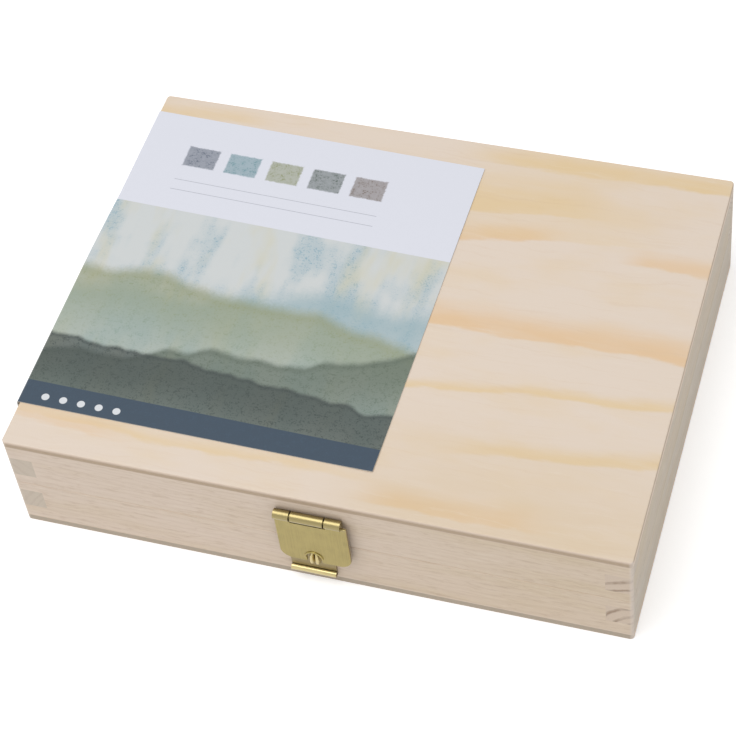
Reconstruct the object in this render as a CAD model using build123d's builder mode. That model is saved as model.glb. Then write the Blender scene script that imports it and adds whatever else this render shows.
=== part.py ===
from build123d import *
from math import cos, pi, radians, sin
import os

# A hinged wooden box for watercolour tubes, all in millimetres. The origin is the centre of the
# underside, +X runs to the right along the front, +Y to the hinged back and +Z up.

# Case
box_length = 200.0
box_depth = 154.0
base_height = 21.0
lid_height = 21.0
panel_thickness = 3.0
board_thickness = 8.5
finger_height = 8.4
corner_radius = 1.3
edge_ease = 0.5
seam_ease = 0.25
# the share of a thin wall that a rounded edge takes
round_share = 0.8

# Latch on the front, its offsets counted outwards from the front boards
sheet = 0.8
sheet_ease = 0.25
hasp_axis_drop = 7.6
barrel_radius = 1.7
barrel_length = 21.4
barrel_offset = 1.8
middle_knuckle = 10.4
knuckle_gap = 0.5
latch_pin_radius = 0.65
pin_clearance = 0.05
flap_width = 23.0
flap_length = 21.6
flap_face_offset = 2.7
flap_shift = 0.9
flap_corner = 4.0
arch_width = 4.9
arch_height = 4.8
arch_shift = 0.3
arch_lip = 0.7
arch_lip_rise = 0.35
hasp_width = 20.0
hasp_seam_gap = 1.2
catch_width = 14.7
catch_shift = -1.15
catch_seam_gap = 1.6
catch_corner = 1.0
catch_curl_radius = 1.1
catch_curl_height = 5.5
curl_wall = 0.5
curl_slit = 0.15
nose_shift = 0.25
lobe_spacing = 1.84
lobe_width = 2.0
nose_reach = 3.4
nose_low = 11.2
nose_high = 17.1
# height, width and reach of the nose's sections, as shares of its own
nose_sections = ((0, 0.7, 0.5), (0.2, 1, 0.94), (0.5, 1, 1), (0.8, 0.88, 0.85), (1, 0.55, 0.45))
nail_head_radius = 1.1
nail_head_height = 0.45
nail_shank_radius = 0.55
nail_length = 7.0
hasp_nail_spacing = 14.0
catch_nail_spacing = 10.0

# Hinges on the back
hinge_spacing = 120.0
hinge_length = 20.0
hinge_leaf = 10.5
hinge_sheet = 0.8
hinge_knuckle_radius = 1.6
hinge_wood_gap = 0.2
hinge_knuckle_gap = 0.3
hinge_middle_knuckle = 6.6
hinge_pin_radius = 0.75
rivet_head_radius = 1.15
rivet_head_height = 0.35
lid_opening = 105.0
stop_slack = 0.5
stop_reach = 3.4
stop_thickness = 0.9
screw_head_radius = 1.5
screw_head_height = 0.8
screw_shank_radius = 0.8
screw_length = 7.0
screw_slot = 0.4
screw_spacing = 12.4
screw_distance = 6.6
hole_clearance = 0.02

# Printed card, folded over the lid's left edge
card_thickness = 0.4
card_right = 117.3
card_front = 14.3
card_back_at_fold = 8.3
card_back_at_right = 11.8
card_fold_drop = 13.0

# Tubes and the foam tray that holds them
tube_count = 5
tube_radius = 9.0
tube_wall = 0.3
tube_length = 108.0
tube_crimp_thickness = 1.7
tube_crimp_length = 6.0
tube_taper_length = 40.0
shoulder_length = 3.0
neck_radius = 4.4
neck_bore_radius = 2.5
neck_length = 9.0
cap_radius = 7.0
cap_length = 14.5
cap_clearance = 0.1
cap_flutes = 24
cap_flute_radius = 0.45
cap_lift = 4.0
seal_thickness = 0.8
seal_gap = 0.05
tray_height = 11.5
tray_floor = 1.2
tray_fit = 0.3
tube_fit = 0.1
pocket_clearance = 0.6
pocket_corner = 2.0

# Places that follow from the sizes above
box_height = base_height + lid_height
seam = base_height
front = -box_depth / 2
back = box_depth / 2
left = -box_length / 2
frame_low = panel_thickness
frame_high = box_height - panel_thickness
base_fingers = (seam - 1.5 * finger_height, seam - 0.5 * finger_height)
lid_fingers = (seam + 0.5 * finger_height, seam + 1.5 * finger_height)
latch_axis_z = box_height - hasp_axis_drop
latch_axis_y = front - barrel_offset
latch_bore = latch_pin_radius + pin_clearance
flap_bottom = latch_axis_z - flap_length
hinge_axis_y = back + hinge_knuckle_radius + hinge_wood_gap
hinge_bore = hinge_pin_radius + pin_clearance
hinge_centres = (-hinge_spacing / 2, hinge_spacing / 2)
tube_pitch = (box_length - 2 * board_thickness - 2 * tray_fit) / tube_count
tube_centres = [(i - (tube_count - 1) / 2) * tube_pitch for i in range(tube_count)]
tube_z = panel_thickness + tray_floor + tube_fit + tube_radius
cap_front = -tube_length / 2
cap_back = cap_front + cap_length
shoulder_start = cap_back + cap_clearance
shoulder_end = shoulder_start + shoulder_length
crimp_end = tube_length / 2
crimp_start = crimp_end - tube_crimp_length
taper_start = crimp_start - tube_taper_length
neck_tip = shoulder_start - neck_length
flat_half_width = pi * tube_radius / 2

os.makedirs("parts", exist_ok=True)


def save(builder, name):
    builder.part.label = name
    export_step(builder.part, f"parts/{name}.step")


# The two halves' outsides: rounded upright corners, eased outer edges and a finer ease at the seam
with BuildPart() as base_outside:
    with BuildSketch(Plane.XY):
        RectangleRounded(box_length, box_depth, corner_radius)
    extrude(amount=base_height)
    chamfer(base_outside.faces().sort_by(Axis.Z)[-1].edges(), seam_ease)
    fillet(base_outside.faces().sort_by(Axis.Z)[0].edges(), edge_ease)

with BuildPart() as lid_outside:
    with BuildSketch(Plane.XY.offset(seam)):
        RectangleRounded(box_length, box_depth, corner_radius)
    extrude(amount=lid_height)
    chamfer(lid_outside.faces().sort_by(Axis.Z)[0].edges(), seam_ease)
    fillet(lid_outside.faces().sort_by(Axis.Z)[-1].edges(), edge_ease)


def slab(low, high, x_centre, y_centre, x_size, y_size, mode=Mode.ADD):
    with BuildSketch(Plane.XY.offset(low)) as plan:
        with Locations((x_centre, y_centre)):
            Rectangle(x_size, y_size)
    extrude(plan.sketch, amount=high - low, mode=mode)


def drill_along_y(x, z, y_face, inwards, radius, depth):
    with Locations(Location((x, y_face + inwards * depth / 2, z), (90, 0, 0))):
        Cylinder(radius, depth, mode=Mode.SUBTRACT)


def long_board(low, high, y_side, fingers):
    """Front or back board: full length, with a socket at each end for the side boards' fingers."""
    y_middle = y_side * (box_depth - board_thickness) / 2
    slab(low, high, 0, y_middle, box_length, board_thickness)
    for x_side in (-1, 1):
        x_middle = x_side * (box_length - board_thickness) / 2
        slab(*fingers, x_middle, y_middle, board_thickness, board_thickness, Mode.SUBTRACT)


def short_board(low, high, x_side, fingers):
    """Left or right board between the long boards, with a finger through each of them."""
    x_middle = x_side * (box_length - board_thickness) / 2
    slab(low, high, x_middle, 0, board_thickness, box_depth - 2 * board_thickness)
    slab(*fingers, x_middle, 0, board_thickness, box_depth)


hasp_nail_z = (seam + hasp_seam_gap + latch_axis_z - barrel_radius) / 2
hasp_nails_at = [(side * hasp_nail_spacing / 2, hasp_nail_z) for side in (-1, 1)]
catch_nails_at = [
    (catch_shift + side * catch_nail_spacing / 2, seam - catch_seam_gap - 2 * nail_head_radius)
    for side in (-1, 1)
]
screw_columns = [centre + side * screw_spacing / 2 for centre in hinge_centres for side in (-1, 1)]

# Base: a plywood bottom under four finger-jointed boards
with BuildPart() as base_bottom_panel:
    slab(0, frame_low, 0, 0, box_length, box_depth)
    add(base_outside.part, mode=Mode.INTERSECT)
save(base_bottom_panel, "base_bottom_panel")

with BuildPart() as base_front_board:
    long_board(frame_low, seam, -1, base_fingers)
    add(base_outside.part, mode=Mode.INTERSECT)
    for x, z in catch_nails_at:
        drill_along_y(x, z, front, 1, nail_shank_radius + hole_clearance, nail_length)
save(base_front_board, "base_front_board")

with BuildPart() as base_back_board:
    long_board(frame_low, seam, 1, base_fingers)
    add(base_outside.part, mode=Mode.INTERSECT)
    for x in screw_columns:
        drill_along_y(x, seam - screw_distance, back, -1, screw_shank_radius + hole_clearance, screw_length)
save(base_back_board, "base_back_board")

with BuildPart() as base_left_board:
    short_board(frame_low, seam, -1, base_fingers)
    add(base_outside.part, mode=Mode.INTERSECT)
save(base_left_board, "base_left_board")

with BuildPart() as base_right_board:
    short_board(frame_low, seam, 1, base_fingers)
    add(base_outside.part, mode=Mode.INTERSECT)
save(base_right_board, "base_right_board")

# Lid: the same frame turned over, under a plywood top
with BuildPart() as lid_top_panel:
    slab(frame_high, box_height, 0, 0, box_length, box_depth)
    add(lid_outside.part, mode=Mode.INTERSECT)
save(lid_top_panel, "lid_top_panel")

with BuildPart() as lid_front_board:
    long_board(seam, frame_high, -1, lid_fingers)
    add(lid_outside.part, mode=Mode.INTERSECT)
    for x, z in hasp_nails_at:
        drill_along_y(x, z, front, 1, nail_shank_radius + hole_clearance, nail_length)
save(lid_front_board, "lid_front_board")

with BuildPart() as lid_back_board:
    long_board(seam, frame_high, 1, lid_fingers)
    add(lid_outside.part, mode=Mode.INTERSECT)
    for x in screw_columns:
        drill_along_y(x, seam + screw_distance, back, -1, screw_shank_radius + hole_clearance, screw_length)
save(lid_back_board, "lid_back_board")

with BuildPart() as lid_left_board:
    short_board(seam, frame_high, -1, lid_fingers)
    add(lid_outside.part, mode=Mode.INTERSECT)
save(lid_left_board, "lid_left_board")

with BuildPart() as lid_right_board:
    short_board(seam, frame_high, 1, lid_fingers)
    add(lid_outside.part, mode=Mode.INTERSECT)
save(lid_right_board, "lid_right_board")


def rod(x_low, x_high, y, z, radius, mode=Mode.ADD):
    with BuildSketch(Plane.YZ.offset(x_low)) as section:
        with Locations((y, z)):
            Circle(radius)
    extrude(section.sketch, amount=x_high - x_low, mode=mode)


def bar(x_low, x_high, y_low, y_high, z_low, z_high, mode=Mode.ADD):
    slab(z_low, z_high, (x_low + x_high) / 2, (y_low + y_high) / 2, x_high - x_low, y_high - y_low, mode)


def front_view(y):
    """A drawing plane at y, seen from the front: its X runs right and its Y runs up."""
    return Plane(origin=(0, y, 0), x_dir=(1, 0, 0), z_dir=(0, -1, 0))


def round_head(x, y, z, outwards, head_radius, head_height, shank_radius, length, slot=0.0):
    """A domed nail or slotted screw whose head sits on the plane at y and faces outwards."""
    tip = 2 * shank_radius
    with BuildSketch(Plane(origin=(x, y, z), x_dir=(1, 0, 0), z_dir=(0, 0, outwards))) as profile:
        with BuildLine():
            dome = ThreePointArc(
                (0, head_height),
                (head_radius * sin(pi / 4), head_height * cos(pi / 4)),
                (head_radius, 0),
            )
            Polyline(dome @ 1, (shank_radius, 0), (shank_radius, tip - length), (0, -length), dome @ 0)
        make_face()
    revolve(profile.sketch, axis=Axis((x, y, z), (0, 1, 0)))
    if slot:
        with Locations((x, y + outwards * head_height, z)):
            Box(2 * head_radius, head_height, slot, mode=Mode.SUBTRACT)


# Latch: a nailed plate and a flap turn on one pin through three knuckles
knuckle_end = middle_knuckle / 2
flap_knuckles = (
    (-barrel_length / 2, -knuckle_end - knuckle_gap),
    (knuckle_end + knuckle_gap, barrel_length / 2),
)

with BuildPart() as hasp_plate:
    shoulder = latch_axis_z - barrel_radius - pin_clearance
    bar(-hasp_width / 2, hasp_width / 2, front - sheet, front, seam + hasp_seam_gap, shoulder)
    bar(-knuckle_end, knuckle_end, front - sheet, front, shoulder, latch_axis_z)
    rod(-knuckle_end, knuckle_end, latch_axis_y, latch_axis_z, barrel_radius)
    rod(-knuckle_end, knuckle_end, latch_axis_y, latch_axis_z, latch_bore, Mode.SUBTRACT)
    for x, z in hasp_nails_at:
        drill_along_y(x, z, front - sheet, 1, nail_shank_radius + hole_clearance, sheet)
save(hasp_plate, "hasp_plate")

with BuildPart() as hasp_flap:
    flap_inner = front - flap_face_offset + sheet
    flap_outer = front - flap_face_offset
    flap_top = latch_axis_z - barrel_radius / 2
    notch_floor = latch_axis_z - barrel_radius - knuckle_gap
    arch_top = flap_bottom + arch_height
    arch_radius = arch_width / 2
    with BuildSketch(front_view(flap_inner)):
        with BuildLine():
            Polyline(
                (flap_shift - flap_width / 2, flap_top),
                (flap_shift + flap_width / 2, flap_top),
                (flap_shift + flap_width / 2, flap_bottom),
                (flap_shift - flap_width / 2, flap_bottom),
                close=True,
            )
        make_face()
        fillet(vertices().group_by(Axis.Y)[0], flap_corner)
        with Locations((arch_shift, flap_bottom + (arch_height - arch_radius) / 2)):
            Rectangle(arch_width, arch_height - arch_radius, mode=Mode.SUBTRACT)
        with Locations((arch_shift, arch_top - arch_radius)):
            Circle(arch_radius, mode=Mode.SUBTRACT)
    extrude(amount=sheet)
    fillet(faces().sort_by(Axis.Y)[0].edges(), sheet_ease)
    with BuildSketch(front_view(flap_inner)):
        with Locations((arch_shift, arch_top - arch_radius)):
            Circle(arch_radius + arch_lip)
            Circle(arch_radius, mode=Mode.SUBTRACT)
        with Locations((arch_shift, arch_top - 2 * arch_radius - arch_lip)):
            Rectangle(arch_width * 2, 2 * arch_radius + 2 * arch_lip, mode=Mode.SUBTRACT)
    extrude(amount=sheet + arch_lip_rise)
    lip_rims = faces().sort_by(Axis.Y)[0].edges().sort_by(SortBy.LENGTH)[-2:]
    fillet(lip_rims, arch_lip_rise * round_share)
    for x_low, x_high in flap_knuckles:
        rod(x_low, x_high, latch_axis_y, latch_axis_z, barrel_radius)
    notch_half = knuckle_end + knuckle_gap
    bar(-notch_half, notch_half, flap_outer, flap_inner, notch_floor, latch_axis_z, Mode.SUBTRACT)
    rod(-barrel_length / 2, barrel_length / 2, latch_axis_y, latch_axis_z, latch_bore, Mode.SUBTRACT)
save(hasp_flap, "hasp_flap")

with BuildPart() as hasp_pin:
    rod(-barrel_length / 2, barrel_length / 2, latch_axis_y, latch_axis_z, latch_pin_radius)
    chamfer(hasp_pin.edges().filter_by(GeomType.CIRCLE), latch_pin_radius / 4)
save(hasp_pin, "hasp_pin")


def nail(x, z):
    """A small round-head nail through a latch plate into the front."""
    round_head(x, front - sheet, z, -1, nail_head_radius, nail_head_height, nail_shank_radius, nail_length)


with BuildPart() as hasp_nails:
    for x, z in hasp_nails_at:
        nail(x, z)
save(hasp_nails, "hasp_nails")


# Catch: a nailed plate with a curled lower edge and a two-lobed nose that stands in the flap's arch
def nose_lobe(side):
    """One of the nose's two lobes: a blunt foot, full below the middle, slim above."""
    sections = []
    for rise, width_share, reach_share in nose_sections:
        middle = nose_shift + side * lobe_spacing / 2 * width_share
        height = nose_low + rise * (nose_high - nose_low)
        with BuildSketch(Plane((middle, front, height))) as section:
            Ellipse(lobe_width / 2 * width_share, nose_reach * reach_share)
        sections.append(section.sketch)
    loft(sections)


with BuildPart() as catch_nose:
    for side in (-1, 1):
        nose_lobe(side)
    split(bisect_by=front_view(front - sheet / 2))

with BuildPart() as catch_plate:
    catch_left = catch_shift - catch_width / 2
    catch_right = catch_shift + catch_width / 2
    bar(catch_left, catch_right, front - sheet, front, catch_curl_height, seam - catch_seam_gap)
    fillet(catch_plate.edges().filter_by(Axis.Y).group_by(Axis.Z)[-1], catch_corner)
    curl_y = front - catch_curl_radius
    rod(catch_left, catch_right, curl_y, catch_curl_height, catch_curl_radius)
    rod(catch_left, catch_right, curl_y, catch_curl_height, catch_curl_radius - curl_wall, Mode.SUBTRACT)
    slit_low = catch_curl_height + catch_curl_radius / 2
    slit_high = slit_low + catch_curl_radius
    slit_front = front - sheet - curl_slit
    bar(catch_left, catch_right, slit_front, front - sheet, slit_low, slit_high, Mode.SUBTRACT)
    add(catch_nose.part)
    for x, z in catch_nails_at:
        drill_along_y(x, z, front - sheet, 1, nail_shank_radius + hole_clearance, sheet)
save(catch_plate, "catch_plate")

with BuildPart() as catch_nails:
    for x, z in catch_nails_at:
        nail(x, z)
save(catch_nails, "catch_nails")


# Hinges: two leaves screwed to the back, on a riveted pin, with heels that meet when the lid is open
def knuckles(centre, middle):
    inner = hinge_middle_knuckle / 2
    if middle:
        return [(centre - inner, centre + inner)]
    outer = hinge_length / 2
    clear = inner + hinge_knuckle_gap
    return [(centre - outer, centre - clear), (centre + clear, centre + outer)]


def heel(x_low, x_high, side, inner):
    """A stop bar that stands radially off the barrel: side 1 on the lid's leaf, -1 on the base's."""
    angle = side * radians((lid_opening + stop_slack) / 2)
    along = Vector(cos(angle), sin(angle))
    across = Vector(-sin(angle), cos(angle)) * side
    pivot = Vector(hinge_axis_y, seam)
    corners = [
        pivot + along * inner,
        pivot + along * stop_reach,
        pivot + along * stop_reach + across * stop_thickness,
        pivot + along * inner + across * stop_thickness,
    ]
    with BuildSketch(Plane.YZ.offset(x_low)) as section:
        with BuildLine():
            Polyline(*[(c.X, c.Y) for c in corners], close=True)
        make_face()
    extrude(section.sketch, amount=x_high - x_low)


def hinge_half(centre, side):
    """One leaf: side 1 is the lid's, with the middle knuckle, and -1 the base's, with the outer two."""
    x_low = centre - hinge_length / 2
    x_high = centre + hinge_length / 2
    shoulder = hinge_knuckle_radius
    near = seam + side * shoulder
    far = seam + side * hinge_leaf
    bar(x_low, x_high, back, back + hinge_sheet, min(near, far), max(near, far))
    corners = edges().filter_by(Axis.Y).group_by(Axis.Z)[-1 if side > 0 else 0]
    fillet(corners, hinge_sheet)
    spans = knuckles(centre, side > 0)
    for low, high in spans:
        bar(low, high, back, back + hinge_sheet, min(near, seam), max(near, seam))
        rod(low, high, hinge_axis_y, seam, hinge_knuckle_radius)
        heel(low, high, side, hinge_knuckle_radius * round_share)
    if side < 0:
        heel(x_low, x_high, side, hinge_knuckle_radius + hinge_wood_gap)
    rod(x_low, x_high, hinge_axis_y, seam, hinge_bore, Mode.SUBTRACT)
    for hand in (-1, 1):
        x = centre + hand * screw_spacing / 2
        hole = screw_shank_radius + hole_clearance
        drill_along_y(x, seam + side * screw_distance, back + hinge_sheet, -1, hole, hinge_sheet)


for hand, centre in zip(("left", "right"), hinge_centres):
    with BuildPart() as lid_leaf:
        hinge_half(centre, 1)
    save(lid_leaf, f"hinge_lid_leaf_{hand}")

    with BuildPart() as base_leaf:
        hinge_half(centre, -1)
    save(base_leaf, f"hinge_base_leaf_{hand}")

    with BuildPart() as hinge_pin:
        end = hinge_length / 2 + pin_clearance
        rod(centre - end, centre + end, hinge_axis_y, seam, hinge_pin_radius)
        for low, high in ((-end - rivet_head_height, -end), (end, end + rivet_head_height)):
            rod(centre + low, centre + high, hinge_axis_y, seam, rivet_head_radius)
        rims = hinge_pin.edges().filter_by(GeomType.CIRCLE).group_by(Axis.X)
        fillet(rims[0] + rims[-1], rivet_head_height * round_share)
    save(hinge_pin, f"hinge_pin_{hand}")

for name, side in (("hinge_lid_screws", 1), ("hinge_base_screws", -1)):
    with BuildPart() as screws:
        for x in screw_columns:
            round_head(
                x,
                back + hinge_sheet,
                seam + side * screw_distance,
                1,
                screw_head_radius,
                screw_head_height,
                screw_shank_radius,
                screw_length,
                screw_slot,
            )
    save(screws, name)

# Card: glued to the top and folded down the lid's left side, its back edge cut a little askew
with BuildPart() as label_card:
    card_left = left - card_thickness
    with BuildSketch(Plane.XY.offset(box_height)):
        with BuildLine():
            Polyline(
                (card_left, front + card_front),
                (left + card_right, front + card_front),
                (left + card_right, back - card_back_at_right),
                (left, back - card_back_at_fold),
                (card_left, back - card_back_at_fold),
                close=True,
            )
        make_face()
    extrude(amount=card_thickness)
    bar(
        card_left,
        left,
        front + card_front,
        back - card_back_at_fold,
        box_height - card_fold_drop,
        box_height,
    )
    crease = label_card.edges().filter_by(Axis.Y).sort_by(Axis.Z)[-2:].sort_by(Axis.X)[0]
    fillet(crease, card_thickness * round_share)
save(label_card, "label_card")


# Tubes: a filled foil tube with a threaded neck, a liner disc and a fluted screw cap each
def across_tube(x, y):
    """A drawing plane across a tube at y, its normal towards the crimp."""
    return Plane(origin=(x, y, tube_z), x_dir=(1, 0, 0), z_dir=(0, 1, 0))


def tube_form(x, inset):
    """The tube's solid shape, drawn in by inset: shoulder, round body and the wedge to the crimp."""
    radius = tube_radius - inset
    start = shoulder_start + inset
    with BuildSketch(Plane.XY.offset(tube_z)) as profile:
        with BuildLine():
            Polyline(
                (x, start),
                (x + neck_radius, start),
                (x + radius, shoulder_end + inset),
                (x + radius, taper_start),
                (x, taper_start),
                close=True,
            )
        make_face()
    revolve(profile.sketch, axis=Axis((x, 0, tube_z), (0, 1, 0)))
    with BuildSketch(across_tube(x, taper_start)) as round_end:
        Circle(radius)
    with BuildSketch(across_tube(x, crimp_start)) as flat_end:
        Ellipse(flat_half_width - inset, tube_crimp_thickness / 2 - inset)
    loft([round_end.sketch, flat_end.sketch], ruled=True)


def neck_rod(x, y_low, y_high, radius, mode=Mode.ADD):
    with BuildSketch(across_tube(x, y_low)) as section:
        Circle(radius)
    extrude(section.sketch, amount=y_high - y_low, mode=mode)


seal_back = neck_tip - seal_gap
seal_front = seal_back - seal_thickness

for number, x in enumerate(tube_centres, 1):
    with BuildPart() as paint:
        tube_form(x, tube_wall)
        neck_rod(x, neck_tip + seal_gap, shoulder_start + 2 * tube_wall, neck_bore_radius)
    save(paint, f"tube_paint_{number}")

    with BuildPart() as tube_body:
        tube_form(x, 0)
        neck_rod(x, neck_tip, shoulder_start, neck_radius)
        slab_low = tube_z - tube_crimp_thickness / 2
        slab_high = tube_z + tube_crimp_thickness / 2
        crimp_middle = (crimp_start + crimp_end) / 2
        slab(slab_low, slab_high, x, crimp_middle, 2 * flat_half_width, tube_crimp_length)
        fold_length = tube_crimp_length / 2
        fold_low = slab_low - tube_wall
        fold_high = slab_high + tube_wall
        slab(fold_low, fold_high, x, crimp_end - fold_length / 2, 2 * flat_half_width, fold_length)
        neck_rod(x, neck_tip, shoulder_start + 2 * tube_wall, neck_bore_radius, Mode.SUBTRACT)
        add(paint.part, mode=Mode.SUBTRACT)
    save(tube_body, f"tube_body_{number}")

    with BuildPart() as cap_seal:
        neck_rod(x, seal_front, seal_back, neck_radius)
    save(cap_seal, f"cap_seal_{number}")

    with BuildPart() as tube_cap:
        with BuildSketch(across_tube(x, cap_front)):
            Circle(cap_radius)
        extrude(amount=cap_length)
        chamfer(tube_cap.faces().sort_by(Axis.Y)[0].edges(), cap_flute_radius)
        flute_start = cap_front + 2 * cap_flute_radius
        with BuildSketch(across_tube(x, flute_start)):
            with PolarLocations(cap_radius, cap_flutes):
                Circle(cap_flute_radius)
        extrude(amount=cap_back - flute_start, mode=Mode.SUBTRACT)
        neck_rod(x, seal_front - seal_gap, cap_back, neck_radius + cap_clearance, Mode.SUBTRACT)
    save(tube_cap, f"tube_cap_{number}")

# Tray: a foam block cut with a pocket in each tube's outline, long enough for the cap to unscrew
with BuildPart() as tube_tray:
    tray_top = panel_thickness + tray_height
    tray_length = box_length - 2 * board_thickness - 2 * tray_fit
    tray_depth = box_depth - 2 * board_thickness - 2 * tray_fit
    slab(panel_thickness, tray_top, 0, 0, tray_length, tray_depth)
    cap_half = cap_radius + pocket_clearance
    body_half = tube_radius + pocket_clearance
    crimp_half = flat_half_width + pocket_clearance
    pocket_front = cap_front - cap_lift - pocket_clearance
    for x in tube_centres:
        outline_half = [
            (cap_half, pocket_front),
            (cap_half, shoulder_start - pocket_clearance),
            (body_half, shoulder_start),
            (body_half, taper_start),
            (crimp_half, crimp_start),
            (crimp_half, crimp_end + pocket_clearance),
        ]
        mirrored = [(-half, y) for half, y in reversed(outline_half)]
        with BuildSketch(Plane.XY.offset(panel_thickness + tray_floor)):
            with BuildLine():
                Polyline(*[(x + half, y) for half, y in outline_half + mirrored], close=True)
            make_face()
            ends = vertices().group_by(Axis.Y)
            fillet(ends[0] + ends[-1], pocket_corner)
        extrude(amount=tray_height - tray_floor, mode=Mode.SUBTRACT)
save(tube_tray, "tube_tray")
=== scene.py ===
import bmesh
import bpy
import math
from mathutils import Matrix, Vector, noise


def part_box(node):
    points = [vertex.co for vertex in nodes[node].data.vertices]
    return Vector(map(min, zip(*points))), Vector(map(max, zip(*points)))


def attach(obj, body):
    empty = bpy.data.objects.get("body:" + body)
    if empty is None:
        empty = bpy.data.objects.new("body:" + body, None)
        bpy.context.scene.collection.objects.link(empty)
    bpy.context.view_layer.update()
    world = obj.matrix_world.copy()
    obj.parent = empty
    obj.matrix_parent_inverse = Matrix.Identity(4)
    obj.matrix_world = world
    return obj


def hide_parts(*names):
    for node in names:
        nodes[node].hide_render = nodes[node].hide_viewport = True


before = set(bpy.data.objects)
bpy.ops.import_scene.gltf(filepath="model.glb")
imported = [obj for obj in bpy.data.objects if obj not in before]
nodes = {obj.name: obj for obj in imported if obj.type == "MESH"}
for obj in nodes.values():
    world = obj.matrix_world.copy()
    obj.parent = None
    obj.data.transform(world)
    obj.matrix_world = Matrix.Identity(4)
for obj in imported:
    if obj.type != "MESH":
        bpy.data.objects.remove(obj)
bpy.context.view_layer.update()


# Boards: each half's frame is four planed pine boards whose fingers lock at the corners, glued and
# sanded flush. The growth rings run through each board, so its ends show them as arcs of end grain.
def tone(red, green, blue):
    """The linear colour that shows as these screen values, each from 0 to 255."""
    shares = [value / 255 for value in (red, green, blue)]
    linear = [s / 12.92 if s <= 0.04045 else ((s + 0.055) / 1.055) ** 2.4 for s in shares]
    return (*linear, 1.0)


class Field:
    """A value that a node tree works out, so that a pattern can be written as plain arithmetic."""

    def __init__(self, wiring, socket):
        self.wiring = wiring
        self.socket = socket

    def __add__(self, other):
        return self.wiring.math("ADD", self, other)

    def __sub__(self, other):
        return self.wiring.math("SUBTRACT", self, other)

    def __rsub__(self, other):
        return self.wiring.math("SUBTRACT", other, self)

    def __mul__(self, other):
        return self.wiring.math("MULTIPLY", self, other)

    def __truediv__(self, other):
        return self.wiring.math("DIVIDE", self, other)

    def __neg__(self):
        return self * -1.0

    def __abs__(self):
        return self.wiring.math("ABSOLUTE", self)

    __radd__ = __add__


class Wiring:
    """Adds the nodes of a material or of a geometry tree and links them."""

    def __init__(self, tree):
        self.tree = tree

    def add(self, kind, **settings):
        node = self.tree.nodes.new(kind)
        for name, value in settings.items():
            setattr(node, name, value)
        return node

    def feed(self, socket, value):
        """Links an input to a field or to another node's output, or sets it to a plain value."""
        if isinstance(value, Field):
            value = value.socket
        if isinstance(value, bpy.types.NodeSocket):
            self.tree.links.new(value, socket)
        else:
            socket.default_value = value

    def math(self, operation, *values):
        """What a Math node gives for these values."""
        node = self.add("ShaderNodeMath", operation=operation)
        for socket, value in zip(node.inputs, values):
            self.feed(socket, value)
        return Field(self, node.outputs[0])

    def rise(self, value, low, high):
        """0 below low and 1 above high, with a smooth step between; low may be the larger."""
        node = self.add("ShaderNodeMapRange", interpolation_type="SMOOTHSTEP", clamp=True)
        for socket, part in zip(node.inputs, (value, low, high, 0.0, 1.0)):
            self.feed(socket, part)
        return Field(self, node.outputs[0])

    def point(self, x, y, z):
        node = self.add("ShaderNodeCombineXYZ")
        for socket, value in zip(node.inputs, (x, y, z)):
            self.feed(socket, value)
        return Field(self, node.outputs[0])

    def parts(self, vector):
        """The three numbers of a vector."""
        node = self.add("ShaderNodeSeparateXYZ")
        self.feed(node.inputs[0], vector)
        return [Field(self, output) for output in node.outputs]

    def scaled(self, vector, factor):
        node = self.add("ShaderNodeVectorMath", operation="SCALE")
        self.feed(node.inputs[0], vector)
        node.inputs["Scale"].default_value = factor
        return Field(self, node.outputs[0])

    def noise(self, place, scale, detail=2.0, roughness=0.5, distortion=0.0):
        """Cloud noise from 0 to 1 at a point given in millimetres; scale is in clouds a millimetre."""
        node = self.add("ShaderNodeTexNoise")
        labels = ("Vector", "Scale", "Detail", "Roughness", "Distortion")
        for label, value in zip(labels, (place, scale, detail, roughness, distortion)):
            self.feed(node.inputs[label], value)
        return Field(self, node.outputs["Fac"])

    def drawn(self, x, y, z, detail=2.0, roughness=0.5):
        """Cloud noise at a place given in clouds, drawn out along the axes that are scaled down."""
        return self.noise(self.point(x, y, z), 1.0, detail, roughness)

    def ramp(self, value, stops):
        """The height over a value of the smooth line through these stops, each a place and a height."""
        node = self.add("ShaderNodeValToRGB")
        ramp = node.color_ramp
        ramp.interpolation = "EASE"
        while len(ramp.elements) < len(stops):
            ramp.elements.new(1.0)
        for element, (place, height) in zip(ramp.elements, stops):
            element.position = place
            element.color = (height, height, height, 1.0)
        self.feed(node.inputs[0], value)
        return Field(self, node.outputs[0])

    def mix(self, share, first, second):
        """The first colour with that share of the second laid over it."""
        node = self.add("ShaderNodeMix", data_type="RGBA")
        self.feed(node.inputs[0], share)
        self.feed(node.inputs[6], first)
        self.feed(node.inputs[7], second)
        return Field(self, node.outputs[2])


class Finish(Wiring):
    """A material of one Principled shader, with the place on the object in millimetres at hand."""

    def __init__(self, name, roughness, metal=0.0):
        self.material = bpy.data.materials.new(name)
        self.material.use_nodes = True
        super().__init__(self.material.node_tree)
        self.tree.nodes.clear()
        self.shader = self.add("ShaderNodeBsdfPrincipled")
        output = self.add("ShaderNodeOutputMaterial")
        self.tree.links.new(self.shader.outputs[0], output.inputs[0])
        self.put("Roughness", roughness)
        self.put("Metallic", metal)
        self.place = self.scaled(self.add("ShaderNodeTexCoord").outputs["Object"], 1000.0)
        self.x, self.y, self.z = self.parts(self.place)

    def put(self, label, value):
        """Sets one of the shader's inputs, or links a field to it."""
        self.feed(self.shader.inputs[label], value)

    def bump(self, height, depth_mm, strength):
        node = self.add("ShaderNodeBump")
        node.inputs["Strength"].default_value = strength
        node.inputs["Distance"].default_value = depth_mm / 1000
        self.feed(node.inputs["Height"], height)
        self.put("Normal", node.outputs[0])


def box_mm(name):
    """The lower and the upper corner of a solid's box, in millimetres."""
    return [corner * 1000 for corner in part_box(name)]


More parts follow.
